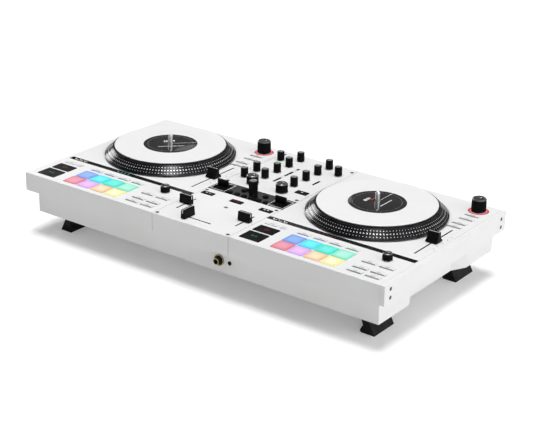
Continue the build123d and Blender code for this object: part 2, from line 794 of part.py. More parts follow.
for word, side in (("left", -1), ("right", 1)):
    centre = side * deck_x
    edges = sorted((side * plate_inner, side * plate_outer))
    save(f"{word}_deck_plate", deck_plate(centre, edges[0], edges[1]))
    save(f"{word}_cheek", cheek(side))
    save(f"{word}_platter", platter(centre))
    save(f"{word}_control_disc", control_disc(centre))
    save(f"{word}_spindle", spindle(centre))
    save(f"{word}_pads", pad_mat(centre))
    save(f"{word}_cue_key", key(centre + cue_key[0], *cue_key[1:]))
    save(f"{word}_play_key", key(centre + play_key[0], *play_key[1:]))
    save(f"{word}_deck_keys", [key(centre + dx, y, width, depth) for dx, y, width, depth in deck_keys])
    save(f"{word}_tempo_fader", tempo_fader(centre + tempo_dx, tempo_y))
    save(f"{word}_line_fader", line_fader(side * line_x, line_y))
    save(f"{word}_effects_paddle", paddle(side * paddle_x))
    for name, (dx, y, size) in deck_knobs.items():
        save(f"{word}_{name}", knob(centre + dx, y, size))
        pots.append(pot(centre + dx, y))
    tracks.append(fader_track(centre + tempo_dx, tempo_y, tempo_slot_length))
    strip_x = (edges[0] + edges[1]) / 2
    lenses.append(block(strip_x, strip_y, top - strip_recess, strip_width, strip_depth, strip_recess))
    loop_dx, loop_y, loop_size = deck_knobs["loop_encoder"]
    lenses.append(light_ring(centre + loop_dx, loop_y))

for name, (x, y, size) in mixer_knobs.items():
    save(name, knob(x, y, size))
save("crossfader", cross_fader(cross_rest_x, cross_y))
save("mixer_keys", [key(x, y, width, depth) for x, y, width, depth in mixer_keys])
save("effects_keys", [key(x, y, width, depth, rise=1.9) for x, y, width, depth in fx_keys])
save("lit_windows", lenses)
save("control_bodies", tracks + pots)

for side, y in foot_places:
    place = ("left" if side < 0 else "right") + ("_front" if y < 0 else "_rear")
    save(f"{place}_foot", foot(side, y))
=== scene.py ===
# %% [markdown]
# # A two-deck music controller
# The controller is a white slab on four folding feet. Two motorised platters carry white control discs,
# a mixer with knobs and sliders stands between them, and eight lit pads lie in front of each platter.
# The solid parts arrive as a fixed frame. This notebook adds finishes, light and the fine shapes.

# %% Load the frame
import math
import bpy
import numpy as np
from mathutils import Matrix, Vector


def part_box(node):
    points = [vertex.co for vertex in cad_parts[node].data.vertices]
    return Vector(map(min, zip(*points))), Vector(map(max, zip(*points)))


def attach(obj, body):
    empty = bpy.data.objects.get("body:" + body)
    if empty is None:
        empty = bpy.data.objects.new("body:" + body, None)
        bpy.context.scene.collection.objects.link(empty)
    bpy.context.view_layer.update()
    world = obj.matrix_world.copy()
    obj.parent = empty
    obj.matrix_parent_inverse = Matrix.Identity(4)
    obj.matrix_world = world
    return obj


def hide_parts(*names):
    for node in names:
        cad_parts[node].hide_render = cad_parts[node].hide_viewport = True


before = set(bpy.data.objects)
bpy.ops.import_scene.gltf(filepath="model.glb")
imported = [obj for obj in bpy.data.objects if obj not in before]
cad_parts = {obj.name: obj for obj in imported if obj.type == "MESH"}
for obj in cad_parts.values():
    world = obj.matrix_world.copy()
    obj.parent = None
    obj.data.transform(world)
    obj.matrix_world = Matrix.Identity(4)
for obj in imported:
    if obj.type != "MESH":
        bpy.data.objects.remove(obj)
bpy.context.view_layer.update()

MM = 0.001

# %% [markdown]
# ## Finding places
# Every place comes from the boxes of the solid parts. A box gives a middle, a size and the height of a
# surface, so a detail still sits right if a part is moved a little in the design.

# %% Helpers for places


def middle(node):
    """The centre of a part's box, in millimetres: half of lowest corner plus highest corner."""
    low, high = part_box(node)
    return (np.array(low) + np.array(high)) / 2 / MM


def extent(node):
    """The size of a part's box, in millimetres: highest corner minus lowest corner."""
    low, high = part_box(node)
    return (np.array(high) - np.array(low)) / MM


def ends(node):
    """The lowest and the highest corner of a part's box, in millimetres."""
    low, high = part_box(node)
    return np.array(low) / MM, np.array(high) / MM


def top_of(node):
    """The height of a part's highest point, in millimetres."""
    return float(ends(node)[1][2])


plate_top = top_of("mixer_plate")
disc_top = top_of("left_control_disc")
discs = {word: middle(f"{word}_control_disc") for word in ("left", "right")}
# The middle of a deck's sheet lies a little to the right of its platter.
deck_middles = {word: centre[0] + 12.5 for word, centre in discs.items()}
print("plate top", round(plate_top, 2), "disc top", round(disc_top, 2))

# %% [markdown]
# ## Shapes as arrays
# A new piece is a grid of points worked out with numpy. A stack of closed rings, lowest ring first and each
# ring counterclockwise seen from above, becomes a skin of four-sided faces that all point outwards. Modelling
# by hand in a viewport would also work, but a formula keeps the sizes exact and easy to change.

# %% Rings to faces


def skin(rings, low_cap=True, high_cap=True, closed=False):
    """Points and faces of a stack of rings. Face (i, j) joins ring i to ring i+1 between spokes j and j+1.
    A cap is a fan to the mean point of its ring. A closed stack joins its last ring to its first."""
    rings = np.asarray(rings, dtype=float)
    count, around = rings.shape[:2]
    rows = np.arange(count if closed else count - 1)[:, None]
    spokes = np.arange(around)[None, :]
    above = (rows + 1) % count
    beside = (spokes + 1) % around
    quads = np.stack([rows * around + spokes, rows * around + beside,
                      above * around + beside, above * around + spokes], axis=-1).reshape(-1, 4)
    points = rings.reshape(-1, 3)
    triangles = np.zeros((0, 3), dtype=int)
    spoke = np.arange(around)
    if low_cap and not closed:
        points = np.vstack([points, rings[0].mean(axis=0)])
        fan = np.stack([(spoke + 1) % around, spoke, np.full(around, len(points) - 1)], axis=-1)
        triangles = np.vstack([triangles, fan])
    if high_cap and not closed:
        points = np.vstack([points, rings[-1].mean(axis=0)])
        start = (count - 1) * around
        fan = np.stack([start + spoke, start + (spoke + 1) % around, np.full(around, len(points) - 1)], axis=-1)
        triangles = np.vstack([triangles, fan])
    return points, quads, triangles


def together(shapes):
    """Several shapes as one: points are stacked and each shape's face numbers move up by the points before it."""
    starts = np.cumsum([0] + [len(shape[0]) for shape in shapes])
    points = np.vstack([shape[0] for shape in shapes])
    quads = np.vstack([shape[1] + start for shape, start in zip(shapes, starts)])
    triangles = np.vstack([shape[2] + start for shape, start in zip(shapes, starts)])
    return points, quads, triangles


# %% A piece from arrays


def new_piece(name, shape, materials, body, face_finish=None, smooth_angle=40, colours=None):
    """A mesh object from points, quads and triangles given in millimetres. face_finish numbers the material
    of each face, quads first. Edges sharper than smooth_angle stay crisp. colours is one RGBA per point."""
    points, quads, triangles = shape
    corners = np.concatenate([quads.ravel(), triangles.ravel()]).astype(np.int32)
    sizes = np.concatenate([np.full(len(quads), 4), np.full(len(triangles), 3)]).astype(np.int32)
    mesh = bpy.data.meshes.new(name)
    mesh.vertices.add(len(points))
    mesh.vertices.foreach_set("co", (points * MM).astype(np.float32).ravel())
    mesh.loops.add(len(corners))
    mesh.loops.foreach_set("vertex_index", corners)
    mesh.polygons.add(len(sizes))
    mesh.polygons.foreach_set("loop_start", np.concatenate([[0], np.cumsum(sizes)[:-1]]).astype(np.int32))
    if face_finish is not None:
        mesh.polygons.foreach_set("material_index", np.asarray(face_finish, dtype=np.int32))
    mesh.update(calc_edges=True)
    mesh.validate()
    mesh.shade_smooth()
    mesh.set_sharp_from_angle(angle=math.radians(smooth_angle))
    if colours is not None:
        layer = mesh.color_attributes.new("pad_colour", "FLOAT_COLOR", "POINT")
        layer.data.foreach_set("color", np.asarray(colours, dtype=np.float32).ravel())
    for material in materials if isinstance(materials, (list, tuple)) else [materials]:
        mesh.materials.append(material)
    piece = bpy.data.objects.new(name, mesh)
    bpy.context.scene.collection.objects.link(piece)
    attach(piece, body)
    return piece


def mark_piece(name, shape, material, body="chassis"):
    """A piece of small slabs, with every edge crisp."""
    return new_piece(name, shape, material, body, smooth_angle=20)


# %% Turned shapes, soft tiles and small marks


def around(centre, radius, angle):
    """X and Y at a radius and an angle: centre x plus radius times the cosine, centre y plus radius times sine."""
    return centre[0] + radius * np.cos(angle), centre[1] + radius * np.sin(angle)


def turned(profile, centre, segments=96, ring=False):
    """A profile of radius and height pairs turned about an upright axis through the centre. ring closes the
    profile on itself, as for a washer."""
    profile = np.asarray(profile, dtype=float)
    angle = np.linspace(0, 2 * np.pi, segments, endpoint=False)
    x, y = around(centre, profile[:, :1], angle)
    z = np.repeat(profile[:, 1:], segments, axis=1)
    return skin(np.stack([x, y, z], axis=-1), closed=ring)


def outline(width, depth, corner, steps=5):
    """A rounded rectangle as points: four corner centres, each with a quarter turn of radius corner."""
    quarter = np.linspace(0, np.pi / 2, steps)
    angle = (np.arange(4)[:, None] * np.pi / 2 + quarter).ravel()
    side_x = np.repeat([1, -1, -1, 1], steps) * (width / 2 - corner)
    side_y = np.repeat([1, 1, -1, -1], steps) * (depth / 2 - corner)
    return np.stack([side_x + corner * np.cos(angle), side_y + corner * np.sin(angle)], axis=-1)


def tile(centre, width, depth, corner, levels):
    """A rounded rectangle carried up through levels, each an inset and a height."""
    rings = []
    for inset, height in levels:
        flat = outline(width - 2 * inset, depth - 2 * inset, max(corner - inset, 0.15)) + np.array(centre[:2])
        rings.append(np.column_stack([flat, np.full(len(flat), height)]))
    return skin(rings)


cube_points = np.array([[x, y, z] for z in (-0.5, 0.5) for x, y in ((-.5, -.5), (.5, -.5), (.5, .5), (-.5, .5))])
cube_faces = np.array([[3, 2, 1, 0], [4, 5, 6, 7], [0, 1, 5, 4], [1, 2, 6, 5], [2, 3, 7, 6], [3, 0, 4, 7]])


def marks(centres, sizes, turn=0.0):
    """Many small slabs at once: a unit cube times each size, turned about upright, plus each centre."""
    centres = np.atleast_2d(np.asarray(centres, dtype=float))
    sizes = np.broadcast_to(np.asarray(sizes, dtype=float), centres.shape)
    turn = np.broadcast_to(np.asarray(turn, dtype=float), centres.shape[:1])
    solid = cube_points[None] * sizes[:, None]
    cos, sin = np.cos(turn)[:, None], np.sin(turn)[:, None]
    x = solid[..., 0] * cos - solid[..., 1] * sin
    y = solid[..., 0] * sin + solid[..., 1] * cos
    points = np.stack([x, y, solid[..., 2]], axis=-1) + centres[:, None]
    faces = cube_faces[None] + 8 * np.arange(len(centres))[:, None, None]
    return points.reshape(-1, 3), faces.reshape(-1, 4), np.zeros((0, 3), dtype=int)


# %% [markdown]
# ## Finishes
# No real surface is one flat colour. Paint has a fine orange-peel skin, mouldings a spark-eroded grain, and
# every part gathers a little dust where it faces up. Those effects are shared node groups. Each material keeps
# its own shader and feeds it with its own colours and scales. Noise on Object coordinates needs no unwrapping.

# %% Helpers for node trees


def set_values(node, values):
    """Gives values to inputs of a node, by name or number."""
    for socket, value in values.items():
        node.inputs[socket].default_value = value


def node_at(tree, kind, values=None, **settings):
    """A new shader node with its settings, and values for some of its inputs."""
    node = tree.nodes.new("ShaderNode" + kind)
    for key, setting in settings.items():
        setattr(node, key, setting)
    set_values(node, values or {})
    return node


def join(tree, *links):
    """Joins sockets. A link names a node, its output, another node and its input."""
    for source, output, target, entry in links:
        tree.links.new(source.outputs[output], target.inputs[entry])


def new_group(name, entries, exits):
    """A node group with named inputs and outputs. It returns the group, its input node and its output node."""
    group = bpy.data.node_groups.new(name, "ShaderNodeTree")
    for label, kind, value in entries:
        socket = group.interface.new_socket(name=label, in_out="INPUT", socket_type="NodeSocket" + kind)
        socket.default_value = value
    for label, kind in exits:
        group.interface.new_socket(name=label, in_out="OUTPUT", socket_type="NodeSocket" + kind)
    return group, group.nodes.new("NodeGroupInput"), group.nodes.new("NodeGroupOutput")


# %% Shared effect: surface finish
# A slow noise mixes two colours and varies the roughness, a fine noise gives the grain. Dust lies where the
# surface faces up: the product of the normal's Z, the slow noise and the amount.
surface, inputs, outputs = new_group("surface_finish", (
    ("Colour", "Color", (1, 1, 1, 1)), ("Patch Colour", "Color", (0.8, 0.8, 0.8, 1)), ("Patch Scale", "Float", 12.0),
    ("Grain Scale", "Float", 1800.0), ("Roughness", "Float", 0.4), ("Roughness Spread", "Float", 0.1),
    ("Dust", "Float", 0.05)), (("Colour", "Color"), ("Roughness", "Float"), ("Height", "Float")))
place = node_at(surface, "TexCoord")
patches = node_at(surface, "TexNoise", {"Detail": 4.0})
grain = node_at(surface, "TexNoise", {"Detail": 2.0})
patch_mask = node_at(surface, "MapRange", {"From Min": 0.38, "From Max": 0.68})
mixed = node_at(surface, "Mix", data_type="RGBA")
facing = node_at(surface, "NewGeometry")
split = node_at(surface, "SeparateXYZ")
dust_up = node_at(surface, "Math", operation="MULTIPLY", use_clamp=True)
dust_mask = node_at(surface, "Math", operation="MULTIPLY", use_clamp=True)
dusty = node_at(surface, "Mix", {"B": (0.62, 0.6, 0.57, 1)}, data_type="RGBA")
centred = node_at(surface, "Math", {1: 0.5}, operation="SUBTRACT")
spread = node_at(surface, "Math", operation="MULTIPLY_ADD", use_clamp=True)
join(surface, (place, "Object", patches, "Vector"), (place, "Object", grain, "Vector"),
     (inputs, "Patch Scale", patches, "Scale"), (inputs, "Grain Scale", grain, "Scale"),
     (patches, "Fac", patch_mask, "Value"), (patch_mask, "Result", mixed, "Factor"),
     (inputs, "Colour", mixed, "A"), (inputs, "Patch Colour", mixed, "B"),
     (facing, "Normal", split, "Vector"), (split, "Z", dust_up, 0), (patch_mask, "Result", dust_up, 1),
     (dust_up, "Value", dust_mask, 0), (inputs, "Dust", dust_mask, 1), (dust_mask, "Value", dusty, "Factor"),
     (mixed, "Result", dusty, "A"), (dusty, "Result", outputs, "Colour"), (patches, "Fac", centred, 0),
     (centred, "Value", spread, 0), (inputs, "Roughness Spread", spread, 1), (inputs, "Roughness", spread, 2),
     (spread, "Value", outputs, "Roughness"), (grain, "Fac", outputs, "Height"))

# %% Shared effect: distance from an axis
# The distance is the length of the place minus the centre, with the direction of the axis flattened out. Keep is
# (1, 1, 0) for an upright axis and (1, 0, 1) for one that runs from front to back.
axis_distance, inputs, outputs = new_group("axis_distance", (
    ("Centre", "Vector", (0, 0, 0)), ("Keep", "Vector", (1, 1, 0))), (("Distance", "Float"),))
place = node_at(axis_distance, "TexCoord")
shift = node_at(axis_distance, "VectorMath", operation="SUBTRACT")
flat = node_at(axis_distance, "VectorMath", operation="MULTIPLY")
length = node_at(axis_distance, "VectorMath", operation="LENGTH")
join(axis_distance, (place, "Object", shift, 0), (inputs, "Centre", shift, 1), (shift, "Vector", flat, 0),
     (inputs, "Keep", flat, 1), (flat, "Vector", length, 0), (length, "Value", outputs, "Distance"))

# %% Shared effect: turned grooves
# The height is the sine of the distance from the piece's axis, so it draws fine rings. A noise along the same
# distance makes some bands shallower, as the quiet and loud passages of a record do.
grooves, inputs, outputs = new_group("turned_grooves", (
    ("Distance", "Float", 0.0), ("Rings Per Metre", "Float", 1500.0)), (("Height", "Float"),))
turns = node_at(grooves, "Math", operation="MULTIPLY")
sine = node_at(grooves, "Math", operation="SINE")
bands = node_at(grooves, "TexNoise", {"Scale": 260.0}, noise_dimensions="1D")
height = node_at(grooves, "Math", operation="MULTIPLY")
join(grooves, (inputs, "Distance", turns, 0), (inputs, "Rings Per Metre", turns, 1), (turns, "Value", sine, 0),
     (inputs, "Distance", bands, "W"), (sine, "Value", height, 0), (bands, "Fac", height, 1),
     (height, "Value", outputs, "Height"))

# %% One material


def finish(name, colour, patch, rough, spread=0.08, grain=1800.0, bump=0.04, patch_scale=12.0, dust=0.03,
           metallic=0.0, gloss=0.5, glow=None, glow_strength=0.0):
    """A material with the surface finish group: it feeds colour, roughness and the height of a bump."""
    material = bpy.data.materials.new(name)
    material.use_nodes = True
    tree = material.node_tree
    shader = tree.nodes["Principled BSDF"]
    effect = node_at(tree, "Group", {
        "Colour": (*colour, 1), "Patch Colour": (*patch, 1), "Patch Scale": patch_scale, "Grain Scale": grain,
        "Roughness": rough, "Roughness Spread": spread, "Dust": dust}, node_tree=surface)
    relief = node_at(tree, "Bump", {"Strength": bump, "Distance": 0.0004})
    join(tree, (effect, "Colour", shader, "Base Color"), (effect, "Roughness", shader, "Roughness"),
         (effect, "Height", relief, "Height"), (relief, "Normal", shader, "Normal"))
    set_values(shader, {"Metallic": metallic, "Specular IOR Level": gloss})
    if glow:
        set_values(shader, {"Emission Color": (*glow, 1), "Emission Strength": glow_strength})
    return material


def parts_of(material):
    """The node tree, the shader and the surface finish group of a material."""
    tree = material.node_tree
    return tree, tree.nodes["Principled BSDF"], next(node for node in tree.nodes if node.type == "GROUP")


def distance_from(tree, centre, keep=(1, 1, 0)):
    """The distance from an axis through centre, given in millimetres, as an output in this tree."""
    centre = tuple(np.array(centre) * MM)
    return node_at(tree, "Group", {"Centre": centre, "Keep": keep}, node_tree=axis_distance).outputs["Distance"]


def over(tree, output, limit, operation="GREATER_THAN"):
    """A mask: 1 where the value is beyond a limit in millimetres, else 0."""
    test = node_at(tree, "Math", {1: limit * MM}, operation=operation)
    tree.links.new(output, test.inputs[0])
    return test.outputs["Value"]


def all_of(tree, masks):
    """One mask where every mask is 1: their product."""
    result = masks[0]
    for mask in masks[1:]:
        product = node_at(tree, "Math", operation="MULTIPLY")
        tree.links.new(result, product.inputs[0])
        tree.links.new(mask, product.inputs[1])
        result = product.outputs["Value"]
    return result


def paint_over(material, mask, colour):
    """Mixes a colour over the finish where the mask is 1."""
    tree, shader, effect = parts_of(material)
    mix = node_at(tree, "Mix", {"B": (*colour, 1)}, data_type="RGBA")
    tree.links.new(mask, mix.inputs["Factor"])
    join(tree, (effect, "Colour", mix, "A"), (mix, "Result", shader, "Base Color"))


def dress(material, *nodes):
    """Puts a material on every slot of parts from the frame."""
    for node in nodes:
        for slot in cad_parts[node].material_slots:
            slot.material = material


# %% [markdown]
# ## The white casing
# The top sheets and cheeks are satin white paint, which keeps a little gloss. The tub and the frame are white
# mouldings with a coarser grain. White parts look right only when they are a bit darker than pure white.

# %% Casing finishes
white_paint = finish("white_paint", (0.745, 0.745, 0.745), (0.72, 0.72, 0.725), 0.42, bump=0.05, patch_scale=6.0,
                     grain=1400.0)
white_cheek = finish("white_cheek", (0.745, 0.745, 0.745), (0.725, 0.725, 0.72), 0.45, bump=0.07, grain=1600.0)
white_moulding = finish("white_moulding", (0.75, 0.75, 0.75), (0.725, 0.725, 0.72), 0.5, bump=0.12, grain=1100.0)
# Inside the cut-outs the sheet is painted dark: painted shade, as the white walls of slots and openings fall in
# shadow. The mask is a product of tests on the place: below the top skin, inside the outer walls in X and in Y,
# and well away from the round openings of the two platters.
inner_half_width, inner_half_depth, platter_opening = 322.0, 159.5, 112.0
tree, shader, effect = parts_of(white_paint)
where = node_at(tree, "TexCoord")
apart = node_at(tree, "VectorMath", operation="ABSOLUTE")
axes = node_at(tree, "SeparateXYZ")
join(tree, (where, "Object", apart, 0), (apart, "Vector", axes, "Vector"))
tests = [over(tree, axes.outputs[axis], limit, "LESS_THAN")
         for axis, limit in (("X", inner_half_width), ("Y", inner_half_depth), ("Z", plate_top - 0.25))]
tests += [over(tree, distance_from(tree, centre), platter_opening) for centre in discs.values()]
paint_over(white_paint, all_of(tree, tests), (0.012, 0.012, 0.013))
dress(white_paint, "mixer_plate", "left_deck_plate", "right_deck_plate")
dress(white_cheek, "left_cheek", "right_cheek")
dress(white_moulding, "middle_frame", "bottom_tub")

# %% [markdown]
# ## Black and dark parts
# Keys, caps and knobs are satin black plastic. The strips, the effects panel and the meter windows are glossy
# black and mirror the room a little: a dark base with a low roughness and a weak highlight gives that look.

# %% Dark finishes
gloss_black = finish("gloss_black", (0.006, 0.006, 0.007), (0.010, 0.010, 0.011), 0.14, spread=0.04, bump=0.005,
                     patch_scale=20.0, dust=0.004, gloss=0.22)
cap_black = finish("cap_black", (0.0025, 0.0025, 0.003), (0.005, 0.005, 0.0055), 0.30, spread=0.1, bump=0.06,
                   patch_scale=80.0, grain=2600.0, dust=0.002, gloss=0.06)
foot_black = finish("foot_black", (0.008, 0.008, 0.009), (0.018, 0.018, 0.019), 0.55, spread=0.15, bump=0.2,
                    patch_scale=45.0, grain=900.0, dust=0.02, gloss=0.15)
key_black = finish("key_black", (0.006, 0.006, 0.007), (0.011, 0.011, 0.012), 0.45, bump=0.05, patch_scale=70.0,
                   dust=0.002, gloss=0.06)
key_white = finish("key_white", (0.70, 0.70, 0.70), (0.66, 0.66, 0.665), 0.4, bump=0.04, patch_scale=50.0)
board_green = finish("board_green", (0.02, 0.09, 0.045), (0.03, 0.13, 0.06), 0.35, bump=0.1, patch_scale=160.0)
pressed_metal = finish("pressed_metal", (0.42, 0.42, 0.43), (0.33, 0.33, 0.34), 0.38, metallic=1.0, bump=0.05)
screw_metal = finish("screw_metal", (0.03, 0.03, 0.032), (0.08, 0.08, 0.085), 0.35, metallic=0.6, bump=0.05,
                     patch_scale=300.0)
chrome = finish("chrome", (0.93, 0.93, 0.94), (0.86, 0.86, 0.88), 0.34, spread=0.05, metallic=1.0, bump=0.01,
                patch_scale=120.0, dust=0.0)
dress(gloss_black, "effects_panel", "lit_windows")
dress(key_black, "left_cue_key", "right_cue_key", "left_play_key", "right_play_key", "mixer_keys", "effects_keys",
      "control_bodies")
dress(cap_black, "crossfader")
dress(board_green, "circuit_boards")
dress(pressed_metal, "platter_motors")
dress(screw_metal, "fasteners")
for word in ("left", "right"):
    dress(key_white, f"{word}_deck_keys")
    dress(chrome, f"{word}_spindle")
    dress(cap_black, *(f"{word}_{cap}" for cap in ("tempo_fader", "line_fader", "effects_paddle")))
    dress(foot_black, f"{word}_front_foot", f"{word}_rear_foot")

# %% [markdown]
# ## Sockets
# The large headphone socket is a black cone between two gilt rings, and the others are black. All sockets are
# one part, so the gilt is a mask: far enough ahead of the tub wall, and far enough out from the socket's axis.

# %% Socket finish
socket_finish = finish("socket_finish", (0.004, 0.004, 0.005), (0.010, 0.010, 0.010), 0.35, bump=0.05, gloss=0.15,
                       dust=0.0)
tree, shader, effect = parts_of(socket_finish)
where = node_at(tree, "TexCoord")
axes = node_at(tree, "SeparateXYZ")
gilt = node_at(tree, "Math", operation="MAXIMUM")
join(tree, (where, "Object", axes, "Vector"), (gilt, "Value", shader, "Metallic"))
wall_front = ends("bottom_tub")[0][1]
socket_axis = (44.8, 0.0, 52.25)
reach = distance_from(tree, socket_axis, (1, 0, 1))
# Each ring of gilt: how far it stands ahead of the wall, and the radius where it begins
for index, (depth, radius) in enumerate(((7.3, 4.0), (0.65, 7.6))):
    ahead = over(tree, axes.outputs["Y"], wall_front - depth, "LESS_THAN")
    tree.links.new(all_of(tree, [ahead, over(tree, reach, radius)]), gilt.inputs[index])
paint_over(socket_finish, gilt.outputs["Value"], (0.50, 0.38, 0.18))
dress(socket_finish, "sockets")

# %% [markdown]
# ## Platters
# A platter is a gloss black casting. Its sloping rim carries three rows of bright dots that show its speed
# under a lamp, with thin ridges between the rows. A turned profile makes the casting, and the dots are slabs
# laid on the slope. Painting the dots with a texture would blur them, so they are real shapes.

# %% Platter casting and mats
platter_black = finish("platter_black", (0.002, 0.002, 0.003), (0.005, 0.005, 0.006), 0.15, spread=0.05, bump=0.01,
                       patch_scale=40.0, dust=0.001, gloss=0.4)
dot_silver = finish("dot_silver", (0.62, 0.62, 0.63), (0.42, 0.42, 0.44), 0.22, metallic=0.4, bump=0.03,
                    patch_scale=300.0, dust=0.0)
felt_black = finish("felt_black", (0.006, 0.006, 0.006), (0.014, 0.014, 0.014), 0.95, bump=0.5, grain=2600.0,
                    patch_scale=90.0, dust=0.0, gloss=0.2)
platter_low, platter_high = (float(corner[2]) for corner in ends("left_platter"))
rim_radius = extent("left_platter")[0] / 2
deck_radius = rim_radius - 13.0
hub_radius, shaft_radius, mat_radius = 30.0, 5.6, 91.5
mat_low = platter_high - 0.8
slope_low = np.array([rim_radius, platter_low + 1.6])
slope_high = np.array([deck_radius, mat_low - 1.2])
slope = slope_high - slope_low
slope_length = float(np.hypot(*slope))
outward = np.array([slope[1], -slope[0]]) / slope_length
print("platter radius", rim_radius, "slope length", round(slope_length, 2))


def on_slope(along, off=0.0):
    """Radius and height at a share along the slope, pushed off it: low end plus share times slope plus normal."""
    return slope_low + np.multiply.outer(along, slope) + off * outward


def platter_profile():
    """Rim, ridged slope, lip, flat deck, hub and hollow underside, as radius and height pairs."""
    ridge_at = np.array([0.06, 0.34, 0.68, 0.94])
    along = (ridge_at[:, None] + np.array([-0.028, -0.012, 0.012, 0.028])).ravel()
    lift = np.tile([0.0, 0.16, 0.16, 0.0], len(ridge_at))
    ridged = slope_low + along[:, None] * slope + lift[:, None] * outward
    outer = [[rim_radius - 0.5, platter_low], [rim_radius, platter_low + 0.5], slope_low]
    upper = [slope_high, [deck_radius, mat_low - 0.4], [deck_radius - 0.4, mat_low], [hub_radius, mat_low]]
    hub = [[hub_radius, platter_high], [shaft_radius, platter_high], [shaft_radius, platter_low + 1.0],
           [14.0, platter_low + 1.0]]
    under = [[14.0, mat_low - 5.0], [deck_radius - 5.0, mat_low - 5.0], [rim_radius - 5.0, platter_low]]
    return np.vstack([outer, ridged, upper, hub, under])


def strobe_dots(centre, share, tall, wide, count=132, taper=1.0):
    """One row of dots. A dot is a slab whose long side lies along the slope; its angle is a whole share of a
    turn, its upper edge is taper times as wide as its lower edge."""
    angle = np.arange(count) * 2 * np.pi / count
    half = tall / 2 / slope_length
    low, high = on_slope(share - half, 0.02), on_slope(share + half, 0.02)
    low_top, high_top = on_slope(share - half, 0.3), on_slope(share + half, 0.3)
    corner = np.array([[low, -1], [low, 1], [high, taper], [high, -taper],
                       [low_top, -1], [low_top, 1], [high_top, taper], [high_top, -taper]], dtype=object)
    radius = np.array([pair[0][0] for pair in corner], dtype=float)
    height = np.array([pair[0][1] for pair in corner], dtype=float)
    side = np.array([pair[1] for pair in corner], dtype=float) * wide / 2
    cos, sin = np.cos(angle)[:, None], np.sin(angle)[:, None]
    x = centre[0] + radius * cos - side * sin
    y = centre[1] + radius * sin + side * cos
    points = np.stack([x, y, np.broadcast_to(height, x.shape)], axis=-1)
    faces = cube_faces[None] + 8 * np.arange(count)[:, None, None]
    return points.reshape(-1, 3), faces.reshape(-1, 4), np.zeros((0, 3), dtype=int)


for word, centre in discs.items():
    body = f"{word}_platter"
    casting = new_piece(f"{word}_platter_casting", turned(platter_profile(), centre, 192, ring=True), platter_black,
                        body, smooth_angle=30)
    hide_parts(f"{word}_platter")
    rows = [strobe_dots(centre, 0.20, 1.1, 1.2), strobe_dots(centre, 0.50, 2.1, 2.1, taper=0.5),
            strobe_dots(centre, 0.78, 1.0, 1.1)]
    mark_piece(f"{word}_platter_dots", together(rows), dot_silver, body)
    inner, outer, under, over_it = hub_radius + 0.3, mat_radius - 0.3, mat_low + 0.02, platter_high - 0.05
    mat = [(inner, under), (outer, under), (mat_radius, mat_low + 0.25), (outer, over_it), (inner, over_it)]
    new_piece(f"{word}_slip_mat", turned(mat, centre, 128, ring=True), felt_black, body)

# %% [markdown]
# ## Control discs
# The disc is grooved white vinyl with a dark glossy label. The grooves are far finer than the mesh, so they
# are a bump from the turned grooves group. The label is a thin ring of its own that covers the middle ones.

# %% Disc finish and labels
label_grey = finish("label_grey", (0.018, 0.018, 0.019), (0.025, 0.025, 0.026), 0.05, spread=0.02, bump=0.0,
                    patch_scale=60.0, dust=0.0, gloss=0.7)
# The dark ink prints the talk mark and also serves as painted shadow in the key gaps and the sheet seams.
# An ink: name, colour, patch colour, roughness
white_ink, grey_ink, dark_ink_and_shade, pale_ink, red_ink = (
    finish(name, colour, patch, rough, patch_scale=400.0, dust=0.0) for name, colour, patch, rough in (
        ("white_ink", (0.82, 0.82, 0.82), (0.74, 0.74, 0.74), 0.5),
        ("grey_ink", (0.26, 0.26, 0.27), (0.36, 0.36, 0.37), 0.55),
        ("dark_ink_and_shade", (0.006, 0.006, 0.007), (0.012, 0.012, 0.013), 0.5),
        ("pale_ink", (0.50, 0.50, 0.51), (0.58, 0.58, 0.59), 0.55),
        ("red_ink", (0.55, 0.02, 0.02), (0.45, 0.015, 0.015), 0.5)))


def white_vinyl(centre):
    """A white vinyl whose grooves turn about this centre."""
    material = finish("white_vinyl", (0.76, 0.76, 0.76), (0.74, 0.74, 0.745), 0.35, bump=0.1, dust=0.0)
    tree = material.node_tree
    rings = node_at(tree, "Group", {"Rings Per Metre": 4200.0}, node_tree=grooves)
    relief = next(node for node in tree.nodes if node.type == "BUMP")
    relief.inputs["Distance"].default_value = 0.0002
    tree.links.new(distance_from(tree, centre), rings.inputs["Distance"])
    join(tree, (rings, "Height", relief, "Height"))
    return material


def arc(centre, radius, width, low, high, segments=96):
    """A flat ring: four corners of its section turned about the centre."""
    inner, outer = radius - width / 2, radius + width / 2
    section = [(inner, low), (outer, low), (outer, high), (inner, high)]
    return turned(section, centre, segments, ring=True)


label_top = disc_top + 0.12
label_radius, label_hole, label_dots, dot_radius = 43.0, 3.9, 90, 36.0
